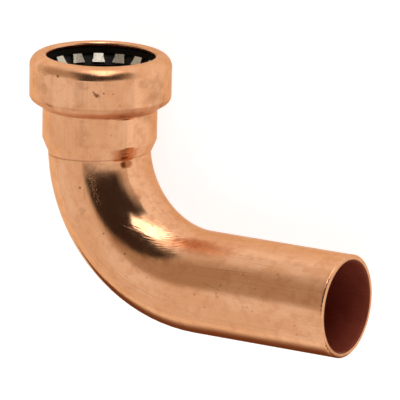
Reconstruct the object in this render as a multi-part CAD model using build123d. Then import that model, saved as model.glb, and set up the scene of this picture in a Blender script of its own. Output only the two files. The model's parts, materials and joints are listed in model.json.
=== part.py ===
"""Push-fit street elbow for 22 mm copper tube, in millimetres.

A street elbow has a plain spigot on one end and a push-fit socket on the other. The
copper body is one drawn tube: bent, then its socket end swelled to a neck and to a
collar, whose rim is rolled in over four loose rings. From the neck outwards these are
the O-ring, the spacer ring, the toothed grab ring and the guide ring.

Each piece is modelled in the fitting's frame: the two axes cross at the origin, the
spigot runs along +X and the socket along +Z. The finished pieces are then turned
together to the way that the elbow lies on a flat surface, on its collar and its spigot,
with the spigot level along +X and the socket towards +Y. The origin is the middle of
that resting box's floor.
"""
from build123d import *
from math import acos, asin, atan2, cos, degrees, hypot, radians, sin, sqrt, tan
import os

# Tube and spigot
tube_od = 22.0
tube_wall = 1.3
bend_radius = 26.5          # of the centre line, through 90 degrees
spigot_length = 34.8        # straight part beyond the bend
end_rounding_outside = 0.4
end_rounding_inside = 0.2

# Neck, swelled from the tube for the pipe that is pushed in
pipe_clearance = 0.14       # round the pipe, in the neck
neck_wall = 1.15
neck_length = 6.7
taper_length = 3.0
taper_into_bend = 1.5       # how far the taper's foot reaches past the bend's start
taper_overlap = 0.7         # depth that the taper is sunk into the bend, out of sight
taper_rounding = 1.2

# Collar, swelled further for the rings
collar_wall = 1.1
shoulder_angle = 31.5       # rise of the shoulder, degrees
shoulder_rounding = 2.0
shoulder_foot_rounding = 0.8
rim_rounding = 2.6          # outer radius of the rolled rim
mouth_clearance = 0.6       # round the pipe, at the mouth

# Rings
grip = 0.06                 # how far the O-ring and the teeth reach inside the pipe's surface
o_ring_section = 3.06
spacer_height = 4.0
spacer_clearance = 0.3      # round the pipe
grab_thickness = 0.5
guide_height = 0.85
guide_clearance = 0.9       # round the pipe
ring_clearance = 0.12       # round the outside of each ring
stack_clearance = 0.05      # between each ring and the next

# Teeth of the grab ring
tooth_count = 16
tooth_angle = 60.0          # slope below the ring's flat rim, degrees
tooth_depth = 2.25          # drop from the flat rim's top to the tips
tooth_slot = 1.65           # between two tips
tooth_root_diameter = 2.7   # of the round end of each slot
tooth_root_inset = 0.1      # from the teeth's bend line in to that round end's centre
tooth_support_gap = 0.15    # between the teeth and the spacer behind them

# Radii
pipe_r = tube_od / 2
bore_r = pipe_r - tube_wall
neck_bore_r = pipe_r + pipe_clearance
neck_r = neck_bore_r + neck_wall
mouth_r = pipe_r + mouth_clearance
grip_r = pipe_r - grip
o_ring_r = grip_r + o_ring_section / 2
ring_r = grip_r + o_ring_section
chamber_r = ring_r + ring_clearance
collar_r = chamber_r + collar_wall
spacer_bore_r = pipe_r + spacer_clearance
guide_bore_r = pipe_r + guide_clearance

# Heights along the socket's axis, from the spigot's axis
taper_foot = bend_radius - taper_into_bend
taper_top = taper_foot + taper_length
neck_top = taper_top + neck_length
join_height = (taper_top + neck_top) / 2
shoulder_rise = tan(radians(shoulder_angle))
shoulder_slant = 1 / cos(radians(shoulder_angle))
shoulder_top = neck_top + (collar_r - neck_r) * shoulder_rise


def seat_height(radius):
    """Height of the shoulder's inner face at a radius."""
    return neck_top + (radius - neck_r) * shoulder_rise + collar_wall * shoulder_slant


o_ring_height = seat_height(o_ring_r) + (o_ring_section / 2 + stack_clearance) * shoulder_slant
spacer_foot = o_ring_height + o_ring_section / 2 + stack_clearance
grab_foot = spacer_foot + spacer_height + stack_clearance
grab_top = grab_foot + grab_thickness
guide_foot = grab_top + stack_clearance
guide_top = guide_foot + guide_height
rim_crown = guide_top + stack_clearance + collar_wall
roll_height = rim_crown - rim_rounding

# Rolled rim, an arc about a point inside the collar's wall that ends in a rounded lip
roll_r = collar_r - rim_rounding
roll_inside = rim_rounding - collar_wall
roll_middle = rim_rounding - collar_wall / 2
lip_turn = asin((roll_r - mouth_r - collar_wall / 2) / roll_middle)

# Grab ring, whose flat rim fits under the start of the roll
grab_above_roll = max(grab_top - roll_height, 0)
grab_r = roll_r + sqrt((roll_inside - ring_clearance) ** 2 - grab_above_roll**2)
tooth_rise = tan(radians(tooth_angle))
tooth_slant = 1 / cos(radians(tooth_angle))
tooth_bend_r = grip_r + tooth_depth / tooth_rise

# Resting on the collar's shoulder and on the whole length of the spigot
shoulder_centre_r = collar_r - shoulder_rounding
shoulder_centre_z = shoulder_top + shoulder_rounding * (shoulder_slant - shoulder_rise)
rest_tilt = (
    acos((pipe_r - shoulder_rounding) / hypot(shoulder_centre_r, shoulder_centre_z))
    - atan2(shoulder_centre_z, shoulder_centre_r)
)


def turned(*edges):
    """Solid turned round the socket's axis from edges that close a section in XZ."""
    return revolve(make_face(list(edges)), Axis.Z)


def polygon_ring(*points):
    """Ring with a straight-sided section, from its corners as radius and height."""
    corners = [(radius, 0, height) for radius, height in points]
    return turned(*Polyline(*corners, close=True).edges())


def swelled_rod(foot_r, top_r):
    """Filled taper and neck, up to the middle of the neck, with its foot inside the bend."""
    slope = (top_r - foot_r) / taper_length
    foot = taper_foot - taper_overlap
    profile = FilletPolyline(
        (foot_r - taper_overlap * slope, 0, foot),
        (top_r, 0, taper_top),
        (top_r, 0, join_height),
        radius=taper_rounding,
    )
    to_axis = Polyline(profile @ 1, (0, 0, join_height), (0, 0, foot), profile @ 0)
    return turned(*profile.edges(), *to_axis.edges())


def bent_rod(radius, length):
    """Rod along the tube's centre line, from the bend's start to the spigot's end."""
    bend_axis = Axis((bend_radius, 0, bend_radius), (0, -1, 0))
    bend = revolve(Plane.XY.offset(bend_radius) * Circle(radius), bend_axis, 90)
    spigot = extrude(Plane.YZ.offset(bend_radius) * Circle(radius), length)
    return bend + spigot


def roll_point(reach, turn):
    """Point at a distance from the roll's centre, turned inwards past the crown."""
    return (roll_r - reach * sin(turn), 0, roll_height + reach * cos(turn))


def roll_arc(reach):
    """Arc of the roll from the collar's wall over the crown to the lip."""
    halfway = (lip_turn - radians(90)) / 2
    return ThreePointArc(
        (roll_r + reach, 0, roll_height), roll_point(reach, halfway), roll_point(reach, lip_turn)
    )


def make_socket():
    """Upper half of the neck, shoulder, collar and rolled rim, as one turned wall."""
    outside = FilletPolyline(
        (neck_r, 0, join_height),
        (neck_r, 0, neck_top),
        (collar_r, 0, shoulder_top),
        (collar_r, 0, roll_height),
        radius=[shoulder_foot_rounding, shoulder_rounding],
    )
    inside = FilletPolyline(
        (neck_bore_r, 0, join_height),
        (neck_bore_r, 0, seat_height(neck_bore_r)),
        (chamber_r, 0, seat_height(chamber_r)),
        (chamber_r, 0, roll_height),
        radius=[shoulder_foot_rounding, shoulder_rounding - collar_wall],
    )
    roll_outside = roll_arc(rim_rounding)
    roll_underside = roll_arc(roll_inside)
    nose = Vector(roll_point(roll_middle, lip_turn)) - Vector(cos(lip_turn), 0, sin(lip_turn)) * collar_wall / 2
    lip = ThreePointArc(roll_outside @ 1, nose, roll_underside @ 1)
    foot = Line(outside @ 0, inside @ 0)
    return turned(*outside.edges(), roll_outside, lip, roll_underside, *inside.edges(), foot)


def rounded_end(tube, which, rounding):
    """Tube with one circle of the spigot's end rounded, 0 for the inner and -1 for the outer."""
    circles = tube.edges().filter_by(GeomType.CIRCLE).group_by(Axis.X)[-1]
    return fillet(circles.sort_by(SortBy.RADIUS)[which], rounding)


def make_body():
    outside = bent_rod(pipe_r, spigot_length) + swelled_rod(pipe_r, neck_r)
    inside = bent_rod(bore_r, spigot_length) + swelled_rod(bore_r, neck_bore_r)
    tube = outside - inside
    tube = rounded_end(tube, -1, end_rounding_outside)
    tube = rounded_end(tube, 0, end_rounding_inside)
    return tube + make_socket()


def make_o_ring():
    return revolve(Plane.XZ * Pos(o_ring_r, o_ring_height) * Circle(o_ring_section / 2), Axis.Z)


def make_spacer_ring():
    """Ring between O-ring and grab ring, with a cone that backs the teeth."""
    top = grab_foot - stack_clearance
    cone_at_bend = grab_foot - tooth_support_gap * tooth_slant
    under_bend_r = tooth_bend_r + grab_thickness * tan(radians(tooth_angle / 2))
    cone_top_r = under_bend_r + (top - cone_at_bend) / tooth_rise
    cone_foot = cone_at_bend - (under_bend_r - spacer_bore_r) * tooth_rise
    return polygon_ring(
        (spacer_bore_r, spacer_foot),
        (ring_r, spacer_foot),
        (ring_r, top),
        (cone_top_r, top),
        (spacer_bore_r, cone_foot),
    )


def make_grab_ring():
    """One stamping: a flat rim, and teeth between round-ended slots that slope down and inwards."""
    tip_height = grab_top - tooth_depth
    blank = polygon_ring(
        (tooth_bend_r, grab_top),
        (grab_r, grab_top),
        (grab_r, grab_foot),
        (tooth_bend_r + grab_thickness * tan(radians(tooth_angle / 2)), grab_foot),
        (grip_r + grab_thickness * sin(radians(tooth_angle)), tip_height - grab_thickness / tooth_slant),
        (grip_r, tip_height),
    )
    root_r = tooth_bend_r - tooth_root_inset
    slot = Pos(root_r / 2, 0) * Rectangle(root_r, tooth_slot) + Pos(root_r, 0) * Circle(tooth_root_diameter / 2)
    cutter = extrude(Plane.XY.offset(tip_height - grab_thickness) * slot, tooth_depth + 2 * grab_thickness)
    return blank - PolarLocations(0, tooth_count) * cutter


def make_guide_ring():
    """Ring under the rolled rim that holds the grab ring down and leads the pipe in."""
    reach = roll_inside - stack_clearance
    foot_on_roll = asin((guide_foot - roll_height) / reach)
    inner_on_roll = asin((guide_bore_r - roll_r) / reach)
    over_teeth = grab_top + stack_clearance * tooth_slant - (tooth_bend_r - guide_bore_r) * tooth_rise
    cone_top_r = tooth_bend_r - stack_clearance * (tooth_slant - 1) / tooth_rise
    outer = (roll_r + reach * cos(foot_on_roll), 0, guide_foot)
    inner = (guide_bore_r, 0, roll_height + reach * cos(inner_on_roll))
    crown = ThreePointArc(outer, (roll_r, 0, guide_top), inner)
    sides = Polyline(inner, (guide_bore_r, 0, over_teeth), (cone_top_r, 0, guide_foot), outer)
    return turned(crown, *sides.edges())


parts = {
    "body": make_body(),
    "o_ring": make_o_ring(),
    "spacer_ring": make_spacer_ring(),
    "grab_ring": make_grab_ring(),
    "guide_ring": make_guide_ring(),
}

# Lay the elbow down, then bring the origin under the middle of its box
laid = Pos(0, 0, pipe_r) * Rot(degrees(rest_tilt) - 90, 0, 0)
box = (laid * parts["body"]).bounding_box()
placing = Pos(-box.center().X, -box.center().Y, 0) * laid

os.makedirs("parts", exist_ok=True)
for name, piece in parts.items():
    export_step(placing * piece, f"parts/{name}.step")
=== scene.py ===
"""Looks for the push-fit street elbow: its materials, a pale studio and the photograph's camera."""
import bpy
import json
from math import pi, radians
from mathutils import Matrix, Vector

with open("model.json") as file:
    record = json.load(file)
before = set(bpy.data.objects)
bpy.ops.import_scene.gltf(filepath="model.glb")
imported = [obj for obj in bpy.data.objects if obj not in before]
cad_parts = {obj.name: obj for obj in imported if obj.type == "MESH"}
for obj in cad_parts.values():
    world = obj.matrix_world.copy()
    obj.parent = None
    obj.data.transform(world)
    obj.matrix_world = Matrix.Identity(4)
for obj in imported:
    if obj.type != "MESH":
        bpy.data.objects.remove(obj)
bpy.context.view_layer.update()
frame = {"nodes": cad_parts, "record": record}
nodes = frame["nodes"]

# The elbow's main sizes, in millimetres: those of its two ends are read from the frame
MM = 1000.0
record = frame["record"]
mounts = {mount["name"]: mount for mount in record["mounts"]}
pipe_r = mounts["spigot"]["dims"]["r_mm"]
neck_bore_r = mounts["socket"]["dims"]["r_mm"]
socket_axis = Vector(mounts["socket"]["axis"])
spigot_axis = Vector(mounts["spigot"]["axis"])
spigot_middle = Vector(mounts["spigot"]["pos_m"]) * MM
socket_middle = Vector(mounts["socket"]["pos_m"]) * MM
crossing = spigot_middle + spigot_axis * (socket_middle - spigot_middle).dot(spigot_axis)
side_axis = spigot_axis.cross(socket_axis)
bend_radius = 26.5
bend_length = bend_radius * pi / 2
spigot_straight = 34.8
tube_wall = 1.3
taper_length = 3.0

# The photograph's view: the socket's axis is upright in it
view_up = socket_axis
view_toward = Vector((0.5027, -0.0951, 0.8592)).normalized()
view_right = Vector((0.8644, 0.0553, -0.4997)).normalized()


# Short ways to add shader nodes. Each returns the new node's main output.

def fill(socket, value):
    """Links a socket to another node's output, or sets it to a plain value."""
    if isinstance(value, bpy.types.NodeSocket):
        socket.id_data.links.new(value, socket)
    else:
        socket.default_value = value


def math(tree, operation, *values):
    node = tree.nodes.new("ShaderNodeMath")
    node.operation = operation
    for socket, value in zip(node.inputs, values):
        fill(socket, value)
    return node.outputs[0]


def vector_math(tree, operation, *values):
    node = tree.nodes.new("ShaderNodeVectorMath")
    node.operation = operation
    for socket, value in zip(node.inputs, values):
        fill(socket, value)
    return node.outputs["Value" if operation in ("DOT_PRODUCT", "LENGTH", "DISTANCE") else "Vector"]


def remap(tree, value, low, high, to_low=0.0, to_high=1.0):
    """Smooth step from to_low to to_high as value goes from low to high."""
    node = tree.nodes.new("ShaderNodeMapRange")
    node.interpolation_type = "SMOOTHSTEP"
    if low > high:
        low, high, to_low, to_high = high, low, to_high, to_low
    for name, setting in (("Value", value), ("From Min", low), ("From Max", high),
                          ("To Min", to_low), ("To Max", to_high)):
        fill(node.inputs[name], setting)
    return node.outputs["Result"]


def product(tree, *values):
    """Product of several values. Masks multiplied so hold only where each of them does."""
    result = values[0]
    for value in values[1:]:
        result = math(tree, "MULTIPLY", result, value)
    return result


def total(tree, *values):
    """Sum of several values."""
    result = values[0]
    for value in values[1:]:
        result = math(tree, "ADD", result, value)
    return result


def combine(tree, x, y, z):
    node = tree.nodes.new("ShaderNodeCombineXYZ")
    for socket, value in zip(node.inputs, (x, y, z)):
        fill(socket, value)
    return node.outputs[0]


def noise(tree, vector, scale, detail=3.0, roughness=0.5):
    """Noise from about 0 to 1. scale is a number, or one for each axis."""
    if not isinstance(scale, (int, float)):
        vector = vector_math(tree, "MULTIPLY", vector, scale)
        scale = 1.0
    node = tree.nodes.new("ShaderNodeTexNoise")
    fill(node.inputs["Vector"], vector)
    node.inputs["Scale"].default_value = scale
    node.inputs["Detail"].default_value = detail
    node.inputs["Roughness"].default_value = roughness
    return node.outputs["Fac"]


def mix(tree, mask, first, second):
    """Colour that goes from first to second as mask goes from 0 to 1."""
    node = tree.nodes.new("ShaderNodeMix")
    node.data_type = "RGBA"
    factor, first_color, second_color = node.inputs["Factor"], node.inputs[6], node.inputs[7]
    for socket, value in ((factor, mask), (first_color, first), (second_color, second)):
        fill(socket, value)
    return node.outputs[2]


def tint(tree, color, tone, *masks):
    """Colour taken towards tone by the product of several masks."""
    return mix(tree, product(tree, *masks), color, tone)


def rgb(red, green, blue):
    return (red, green, blue, 1.0)


def new_material(name, **settings):
    """Material with one principled shader, and that shader's inputs set to plain values."""
    material = bpy.data.materials.new(name)
    material.use_nodes = True
    shader = material.node_tree.nodes["Principled BSDF"]
    for socket, value in settings.items():
        shader.inputs[socket.replace("_", " ")].default_value = value
    return material, material.node_tree, shader


def bump(tree, shader, height, distance):
    """Bump from a height, where distance is the depth in metres of a height of 1."""
    node = tree.nodes.new("ShaderNodeBump")
    node.inputs["Strength"].default_value = 1.0
    node.inputs["Distance"].default_value = distance
    fill(node.inputs["Height"], height)
    fill(shader.inputs["Normal"], node.outputs[0])


def unbent(tree):
    """Place on the elbow as if its tube were straight, in millimetres.

    Returns how far along the tube, from 0 where the spigot meets the bend, less on the
    spigot and more towards the socket's mouth; how far out from the centre line, away from
    the bend's centre; and how far to the side that faces up.
    """
    coordinates = tree.nodes.new("ShaderNodeTexCoord")
    place = vector_math(tree, "MULTIPLY", coordinates.outputs["Object"], (MM, MM, MM))
    place = vector_math(tree, "SUBTRACT", place, crossing)
    x = vector_math(tree, "DOT_PRODUCT", place, spigot_axis)
    z = vector_math(tree, "DOT_PRODUCT", place, socket_axis)
    side = vector_math(tree, "DOT_PRODUCT", place, side_axis)
    back = math(tree, "SUBTRACT", bend_radius, x)
    down = math(tree, "SUBTRACT", bend_radius, z)
    bend_x = math(tree, "MAXIMUM", back, 0.0)
    bend_z = math(tree, "MAXIMUM", down, 0.0)
    turned = math(tree, "MULTIPLY", math(tree, "ARCTAN2", bend_x, bend_z), bend_radius)
    spigot_part = math(tree, "MINIMUM", back, 0.0)
    socket_part = math(tree, "MINIMUM", down, 0.0)
    along = math(tree, "SUBTRACT", math(tree, "ADD", turned, spigot_part), socket_part)
    reach = vector_math(tree, "LENGTH", combine(tree, bend_x, bend_z, 0.0))
    out = math(tree, "SUBTRACT", reach, bend_radius)
    return along, out, side


# Marks on the copper. Each has its place on the unrolled tube in millimetres: along it, and
# around it from the side that faces up towards the crook. Then its half length, its half
# width and how far its long way is turned, in degrees.
stain_dark = (
    (38.2, 11.2, 1.05, 0.55, 0),
    (40.6, 11.0, 0.35, 0.35, 20),
    (41.9, 11.3, 0.12, 0.9, -8),
)
stain_red = (
    (38.3, 12.0, 1.35, 1.45, 0),
    (40.6, 11.5, 0.60, 0.80, 0),
)
shoulder_streak = (
    (50.4, 10.6, 0.45, 1.5, 12),
    (50.9, 12.9, 0.35, 1.3, 6),
)
# Smudges; the patches on the collar's left and right sides (along 48 to 58) are painted reflection,
# darker where the collar faces the dimmer room
smudges_and_dim_reflections = (
    (56.4, -6.2, 1.5, 1.4, 0),
    (55.6, -4.8, 0.9, 1.9, -25),
    (52.7, -3.1, 0.25, 1.1, 20),
    (57.6, 13.9, 0.8, 1.5, 0),
    (55.6, 15.6, 2.6, 1.9, 0),
    (53.0, 16.9, 1.2, 1.8, 0),
    (48.7, 16.6, 0.9, 2.4, 25),
    (59.0, -3.6, 0.35, 1.6, 0),
    (26.0, 12.1, 1.3, 0.9, 0),
    (29.2, -0.1, 0.35, 0.75, 0),
    (-23.4, 6.7, 0.7, 0.5, 0),
)
scratches = (
    (-10.9, 6.5, 6.6, 0.10, -3),
    (-8.2, 2.6, 1.9, 0.12, 12),
    (21.0, 6.5, 4.0, 0.06, -20),
    (-20.0, 9.0, 5.0, 0.05, 4),
    (34.0, 2.0, 3.0, 0.06, 15),
    (9.0, -2.0, 5.0, 0.06, 8),
)
# Specks: along, around and radius
specks = (
    (55.6, 5.5, 0.34), (55.9, 5.2, 0.24), (56.3, 5.0, 0.14), (56.1, 6.5, 0.12),
    (56.0, 7.9, 0.12), (59.0, -1.0, 0.26), (34.1, 0.9, 0.25), (22.4, 1.8, 0.18),
    (15.5, 2.5, 0.22), (38.1, 17.1, 0.22),
)
faint_specks = (
    (-14.9, 6.2, 0.32), (-22.8, 7.6, 0.30), (-10.2, 3.1, 0.30), (-4.1, 0.3, 0.30),
    (-9.7, 0.7, 0.34), (-9.4, 1.3, 0.26), (-6.5, -2.2, 0.26), (-15.9, -0.6, 0.28),
    (-16.9, -0.5, 0.20), (-18.2, -1.2, 0.22), (-28.3, -2.8, 0.22), (-30.0, 11.2, 0.28),
    (-10.5, 15.6, 0.26), (-15.4, 10.4, 0.20), (-12.4, 10.7, 0.18), (-22.1, -2.7, 0.22),
    (-28.4, -5.1, 0.24), (28.6, -0.6, 0.30), (-18.5, 3.6, 0.20), (45.0, 3.0, 0.18),
    (3.0, -1.0, 0.22), (8.0, 1.0, 0.24), (11.0, -3.5, 0.20), (53.4, 9.0, 0.20),
    (46.3, 8.2, 0.20),
)


def patches(tree, surface, marks, softness):
    """Mask of several marks. softness is how far an edge spreads, as a share of the mark."""
    mask = 0.0
    for along, around, length, width, turn in marks:
        node = tree.nodes.new("ShaderNodeMapping")
        node.vector_type = "TEXTURE"
        node.inputs["Location"].default_value = (along, around, 0)
        node.inputs["Rotation"].default_value = (0, 0, radians(turn))
        node.inputs["Scale"].default_value = (length, width, 1)
        fill(node.inputs["Vector"], surface)
        distance = vector_math(tree, "LENGTH", node.outputs[0])
        mask = math(tree, "MAXIMUM", mask, remap(tree, distance, 1 + softness, 1 - softness))
    return mask


def dots(tree, surface, marks):
    """Mask of round specks."""
    mask = 0.0
    for along, around, radius in marks:
        distance = vector_math(tree, "DISTANCE", surface, (along, around, 0))
        mask = math(tree, "MAXIMUM", mask, remap(tree, distance, 1.5 * radius, 0.5 * radius))
    return mask


def near(tree, value, middle, reach, softness):
    """1 where value is within reach of middle, with a soft edge."""
    off = math(tree, "ABSOLUTE", math(tree, "SUBTRACT", value, middle))
    return remap(tree, off, reach + softness, reach)


def make_copper():
    """Drawn copper that has been handled: satin, clouded, with specks, stains and scratches, with
    painted shade in its crease and under its shoulder and painted reflection on the collar's sides.
    """
    material, tree, shader = new_material("copper", Specular_Tint=rgb(0.85, 0.66, 0.50))
    along, out, side = unbent(tree)
    place = combine(tree, along, out, side)
    turn = math(tree, "ARCTAN2", math(tree, "MULTIPLY", out, -1.0), side)
    around = math(tree, "MULTIPLY", turn, pipe_r)
    radius = vector_math(tree, "LENGTH", combine(tree, out, side, 0.0))

    # Edges of the marks wander: widely on smudges, the painted reflection on the collar's sides and
    # streaks, closely on the others
    wander = math(tree, "SUBTRACT", noise(tree, place, 0.7, 2.0, 0.5), 0.5)
    ragged = math(tree, "SUBTRACT", noise(tree, place, 2.6, 3.0, 0.6), 0.5)
    loose = combine(tree, math(tree, "ADD", along, math(tree, "MULTIPLY", wander, 2.6)),
                    math(tree, "SUBTRACT", around, math(tree, "MULTIPLY", wander, 2.2)), 0.0)
    steady = combine(tree, math(tree, "ADD", along, math(tree, "MULTIPLY", ragged, 0.7)),
                     math(tree, "SUBTRACT", around, math(tree, "MULTIPLY", ragged, 0.6)), 0.0)

    # Places on the elbow: its outside, the crease and the shoulder's foot that get painted shade, and
    # the zones that are worn or filed
    outer = remap(tree, radius, pipe_r - tube_wall / 2, pipe_r - 0.2)
    crease = product(tree, near(tree, along, crease_along, 0.05, 0.22), outer)
    taper = product(tree, near(tree, along, crease_along + 1.6, 1.3, 0.3), outer)
    shoulder = product(tree, near(tree, along, shoulder_along, 0.15, 0.5), outer)
    under_collar = product(tree, near(tree, along, shoulder_along + 1.2, 1.2, 0.4), outer)
    end_edge = remap(tree, along, 2 - spigot_straight, 0.5 - spigot_straight)
    rim_roll = remap(tree, along, rim_along - 2.2, rim_along - 1.2)
    crook = product(tree, near(tree, along, 11.0, 6.0, 4.0), near(tree, around, 11.0, 2.0, 2.0))
    spigot_foot = product(tree, near(tree, along, -3.5, 4.5, 3.0), near(tree, around, 11.2, 1.8, 1.6))
    bend_flank = product(tree, near(tree, along, 34.5, 4.5, 2.0), near(tree, around, 4.0, 0.3, 0.8))

    # Clouds, drawing lines, grain and a few fine dark pits
    cloud = noise(tree, place, (0.06, 0.12, 0.12), 4.0, 0.6)
    blotch = noise(tree, place, 0.45, 5.0, 0.6)
    drawn_lines = noise(tree, place, (0.03, 2.2, 2.2), 4.0, 0.7)
    grain = noise(tree, place, 4.0, 4.0, 0.65)
    pits = noise(tree, place, (1.0, 1.6, 1.6), 2.0, 0.5)
    deep, pale = rgb(0.70, 0.335, 0.165), rgb(0.775, 0.405, 0.222)
    color = mix(tree, remap(tree, cloud, 0.38, 0.62), deep, pale)
    color = tint(tree, color, rgb(0.60, 0.25, 0.115), remap(tree, blotch, 0.46, 0.66), 0.45)
    color = tint(tree, color, rgb(0.58, 0.25, 0.12), remap(tree, drawn_lines, 0.50, 0.70), 0.34)
    color = tint(tree, color, rgb(0.50, 0.22, 0.10), remap(tree, grain, 0.52, 0.72), 0.38)
    color = tint(tree, color, rgb(0.36, 0.15, 0.065), remap(tree, pits, 0.72, 0.79), 0.40)

    smudge_and_reflection_cloud = remap(tree, blotch, 0.30, 0.60, 0.35, 1.0)
    smudge_and_reflection_mask = product(tree, patches(tree, loose, smudges_and_dim_reflections, 0.6), smudge_and_reflection_cloud)
    reddened = patches(tree, steady, stain_red, 0.35)
    stained = patches(tree, steady, stain_dark, 0.5)
    streaked = patches(tree, loose, shoulder_streak, 0.6)
    scratched = patches(tree, steady, scratches, 0.5)
    speckled = dots(tree, steady, specks)
    faintly_speckled = dots(tree, steady, faint_specks)
    # Smudges, and painted reflection that darkens the collar's sides
    color = tint(tree, color, rgb(0.44, 0.205, 0.095), smudge_and_reflection_mask, 0.60)
    color = tint(tree, color, rgb(0.31, 0.085, 0.022), reddened, 0.85)
    color = tint(tree, color, rgb(0.13, 0.022, 0.003), stained, 0.80)
    color = tint(tree, color, rgb(0.40, 0.14, 0.055), streaked, 0.55)
    color = tint(tree, color, rgb(0.34, 0.15, 0.065), scratched, 0.45)
    color = tint(tree, color, rgb(0.19, 0.055, 0.018), speckled, 0.75)
    color = tint(tree, color, rgb(0.34, 0.15, 0.07), faintly_speckled, 0.45)

    # Painted shade: darker in the crease at the taper's foot and under the collar's shoulder, where
    # shade falls
    shoulder_shade_cloud = remap(tree, blotch, 0.30, 0.62)
    color = tint(tree, color, rgb(0.30, 0.12, 0.055), crease, 0.60)
    color = tint(tree, color, rgb(0.44, 0.18, 0.07), shoulder, shoulder_shade_cloud, 0.30)

    # Red oxide inside, darker past the tube's bore: in the neck and out over the end face
    bore_r = pipe_r - tube_wall
    oxide_r = remap(tree, along, crease_along, crease_along + taper_length,
                    bore_r + oxide_edge, neck_bore_r + oxide_edge)
    inside = math(tree, "LESS_THAN", radius, oxide_r)
    past_bore = remap(tree, radius, bore_r - 0.05, bore_r + 0.08)
    oxide_cloud = remap(tree, blotch, 0.30, 0.70)
    oxide = mix(tree, oxide_cloud, rgb(0.50, 0.105, 0.060), rgb(0.58, 0.13, 0.075))
    oxide = mix(tree, past_bore, oxide, rgb(0.15, 0.030, 0.014))
    color = mix(tree, inside, color, oxide)
    fill(shader.inputs["Base Color"], color)
    fill(shader.inputs["Metallic"], math(tree, "SUBTRACT", 1.0, product(tree, inside, 0.5)))

    # Duller where it is marked, oxidised, filed or scuffed, on the taper and under the collar
    flecks = noise(tree, place, (3.5, 5.0, 5.0), 2.0, 0.6)
    abraded = product(tree, bend_flank, remap(tree, flecks, 0.54, 0.66))
    filed = math(tree, "MAXIMUM", end_edge, rim_roll)
    marked = math(tree, "MAXIMUM", stained, speckled)
    marked = math(tree, "MAXIMUM", marked, product(tree, smudge_and_reflection_mask, 0.5))
    rough = total(tree, remap(tree, blotch, 0.30, 0.75, 0.11, 0.19),
                  product(tree, marked, 0.22), product(tree, inside, 0.25),
                  product(tree, under_collar, 0.40), product(tree, taper, 0.14),
                  product(tree, abraded, 0.30), product(tree, filed, 0.12),
                  product(tree, spigot_foot, 0.14))
    fill(shader.inputs["Roughness"], rough)

    # Height in millimetres: ripples from bending, drawing lines, grain, brush lines in the
    # crook, and the bite of scratches and specks
    ripple = noise(tree, place, (0.22, 0.4, 0.4), 2.0, 0.5)
    slanted = combine(tree, along, math(tree, "ADD", around, product(tree, along, 0.35)), 0.0)
    brushed = product(tree, crook, noise(tree, slanted, (0.22, 1.5, 1.0), 2.0, 0.6))
    height = total(tree, product(tree, ripple, 0.030), product(tree, drawn_lines, 0.0025),
                   product(tree, grain, 0.0010), product(tree, brushed, 0.10),
                   product(tree, scratched, -0.006), product(tree, speckled, -0.008))
    bump(tree, shader, height, 1 / MM)
    return material


def make_black_plastic():
    """Moulded ring: near black and satin, with a faint moulded texture."""
    material, tree, shader = new_material("black_plastic", Specular_IOR_Level=0.22)
    along, out, side = unbent(tree)
    place = combine(tree, along, out, side)
    grain = noise(tree, place, 3.0, 4.0, 0.6)
    color = mix(tree, grain, rgb(0.005, 0.0038, 0.002), rgb(0.014, 0.010, 0.005))
    fill(shader.inputs["Base Color"], color)
    fill(shader.inputs["Roughness"], remap(tree, grain, 0.3, 0.7, 0.38, 0.55))
    bump(tree, shader, grain, 0.00002)
    return material


def make_rubber():
    """Seal: black rubber with a film of grease that leaves it patchy."""
    material, tree, shader = new_material("rubber", Coat_Weight=0.25)
    along, out, side = unbent(tree)
    place = combine(tree, along, out, side)
    film = noise(tree, place, 0.5, 3.0)
    color = mix(tree, film, rgb(0.012, 0.012, 0.012), rgb(0.022, 0.021, 0.020))
    fill(shader.inputs["Base Color"], color)
    fill(shader.inputs["Roughness"], remap(tree, film, 0.35, 0.65, 0.35, 0.6))
    bump(tree, shader, noise(tree, place, 6.0, 3.0), 0.00002)
    return material


def make_stainless():
    """Stamped spring steel, slightly straw coloured, with rolling grain and dark blots."""
    material, tree, shader = new_material("stainless", Metallic=1.0)
    along, out, side = unbent(tree)
    place = combine(tree, along, out, side)
    grain = noise(tree, place, (7.0, 2.0, 2.0), 4.0, 0.7)
    blot = noise(tree, place, 2.2, 3.0, 0.6)
    color = mix(tree, grain, rgb(0.52, 0.46, 0.36), rgb(0.70, 0.65, 0.54))
    color = tint(tree, color, rgb(0.28, 0.20, 0.11), remap(tree, blot, 0.50, 0.70), 0.7)
    fill(shader.inputs["Base Color"], color)
    fill(shader.inputs["Roughness"], remap(tree, grain, 0.3, 0.7, 0.28, 0.42))
    bump(tree, shader, grain, 0.00001)
    return material


def dress(node, material):
    """Gives a CAD node one material."""
    slots = nodes[node].data.materials
    slots.clear()
    slots.append(material)


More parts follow.
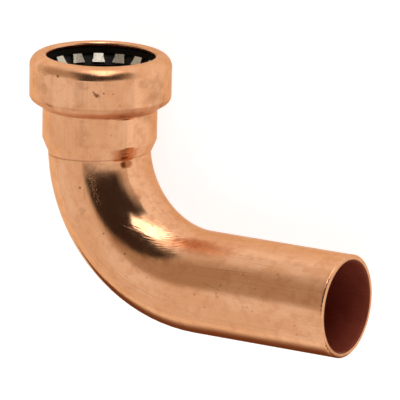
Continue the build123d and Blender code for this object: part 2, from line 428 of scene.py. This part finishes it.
def make_world():
    """A pale room: white above and below, dimmer walls, a dark area behind the camera and a lamp.

    up, right and toward say how far a direction points along the photograph's own axes,
    from -1 to 1.
    """
    world = bpy.data.worlds.new("studio")
    bpy.context.scene.world = world
    world.use_nodes = True
    tree = world.node_tree
    background = tree.nodes["Background"]
    direction = tree.nodes.new("ShaderNodeTexCoord").outputs["Generated"]
    up = vector_math(tree, "DOT_PRODUCT", direction, view_up)
    right = vector_math(tree, "DOT_PRODUCT", direction, view_right)
    toward = vector_math(tree, "DOT_PRODUCT", direction, view_toward)

    white = rgb(1.0, 1.0, 1.0)
    left_wall = rgb(0.55, 0.475, 0.39)
    right_wall = rgb(0.80, 0.75, 0.70)
    back_wall = rgb(0.80, 0.76, 0.71)
    walls = mix(tree, remap(tree, right, -0.55, 0.75), left_wall, right_wall)
    walls = mix(tree, remap(tree, toward, 0.05, -0.45), walls, back_wall)
    walled = product(tree, remap(tree, up, -0.14, 0.12), remap(tree, up, 0.90, 0.62))
    walls = mix(tree, walled, white, walls)

    # The dark area behind the camera, whose lower edge rises to the right
    sill = math(tree, "SUBTRACT", up, product(tree, right, 0.2))
    shade = product(tree, remap(tree, right, -0.66, -0.52), remap(tree, right, 0.86, 0.47),
                 remap(tree, sill, -0.13, -0.04), remap(tree, up, 0.91, 0.76),
                 remap(tree, toward, 0.0, 0.3))
    color = mix(tree, shade, walls, rgb(0.045, 0.034, 0.030))

    # A long lamp overhead that reaches towards the camera, and its softer sides
    overhead = remap(tree, up, 0.60, 0.70)
    lamp_sides = product(tree, near(tree, right, 0.02, 0.30, 0.10),
                      near(tree, toward, 0.22, 0.17, 0.08), overhead)
    lamp = product(tree, near(tree, right, 0.06, 0.10, 0.13),
                near(tree, toward, 0.32, 0.34, 0.08), overhead)
    color = mix(tree, lamp_sides, color, rgb(1.5, 1.4, 1.3))
    color = mix(tree, lamp, color, rgb(3.6, 3.6, 3.7))

    camera_ray = tree.nodes.new("ShaderNodeLightPath").outputs["Is Camera Ray"]
    fill(background.inputs["Color"], mix(tree, camera_ray, color, white))


def make_floor():
    """Pale floor that catches the elbow's shadow."""
    bpy.ops.mesh.primitive_plane_add(size=6.0)
    floor = bpy.context.object
    floor.name = "floor"
    material, tree, shader = new_material("floor", Roughness=1.0, Specular_IOR_Level=0.0)
    shader.inputs["Base Color"].default_value = rgb(0.50, 0.50, 0.50)
    light_path = tree.nodes.new("ShaderNodeLightPath")
    camera_ray, glossy_ray = light_path.outputs["Is Camera Ray"], light_path.outputs["Is Glossy Ray"]
    seen = math(tree, "MAXIMUM", camera_ray, glossy_ray)
    seen = math(tree, "MAXIMUM", seen, light_path.outputs["Is Transmission Ray"])
    shader.inputs["Emission Color"].default_value = rgb(1.0, 1.0, 1.0)
    fill(shader.inputs["Emission Strength"], math(tree, "MULTIPLY", seen, floor_lift))
    floor.data.materials.append(material)


def make_card():
    """Card on the floor along the elbow's lower side, brown beside it and white farther off.

    Only its reflection shows, as painted shade along the copper's lower edge.
    """
    bpy.ops.mesh.primitive_plane_add(size=1.0, location=(0.0, card_middle_y, card_lift))
    card = bpy.context.object
    card.name = "card"
    card.scale = (card_length, card_depth, 1.0)
    card.visible_camera = False
    card.visible_diffuse = False
    card.visible_shadow = False
    material, tree, shader = new_material("card", Roughness=1.0, Specular_IOR_Level=0.0)
    shader.inputs["Base Color"].default_value = rgb(0.02, 0.01, 0.005)
    place = tree.nodes.new("ShaderNodeTexCoord").outputs["Object"]
    across = vector_math(tree, "DOT_PRODUCT", place, (0.0, 1.0, 0.0))
    # Painted shade: the brown glow stands in for the shaded floor under the elbow, seen in its
    # reflection along the lower edge
    painted_shade_glow = mix(tree, remap(tree, across, -0.40, 0.38), rgb(1.0, 1.0, 1.0), rgb(0.20, 0.080, 0.035))
    fill(shader.inputs["Emission Color"], painted_shade_glow)
    shader.inputs["Emission Strength"].default_value = 1.0
    card.data.materials.append(material)


def make_camera():
    """Camera where the photograph's was. Its sensor is as wide as the picture."""
    camera_data = bpy.data.cameras.new("camera")
    camera = bpy.data.objects.new("camera", camera_data)
    bpy.context.scene.collection.objects.link(camera)
    camera_data.sensor_width = sensor_mm
    camera_data.lens = sensor_mm * focal_px / photo_px
    camera_data.clip_end = 20.0
    back = -camera_forward
    turned = Matrix((camera_right, -camera_down, back)).transposed().to_4x4()
    camera.matrix_world = Matrix.Translation(camera_place) @ turned
    bpy.context.scene.camera = camera


# Along the unbent tube: the crease at the taper's foot, the foot of the collar's shoulder,
# and the crest of the rolled rim
crease_along = bend_length - 1.5
shoulder_along = bend_length + 8.3
rim_along = bend_length + 19.0

oxide_edge = 0.32           # how far the oxide reaches past the bore's surface
floor_lift = 0.80           # light added to the floor where it is seen, to bring it to white

# The card's length, depth, middle and height above the floor, in metres
card_length, card_depth = 0.12, 0.080
card_middle_y = -0.071
card_lift = 0.0005

photo_px = 400
sensor_mm = 36.0
focal_px = 5727.2
camera_place = Vector((0.59274, 0.18405, 1.05524))
camera_right = Vector((0.86156, 0.07672, -0.50182)).normalized()
camera_forward = Vector((-0.48728, -0.15227, -0.85987)).normalized()
camera_down = camera_forward.cross(camera_right)

dress("body", make_copper())
dress("o_ring", make_rubber())
black_plastic = make_black_plastic()
dress("spacer_ring", black_plastic)
dress("guide_ring", black_plastic)
dress("grab_ring", make_stainless())
make_world()
make_floor()
make_card()
make_camera()
bpy.context.scene.view_settings.view_transform = "Standard"
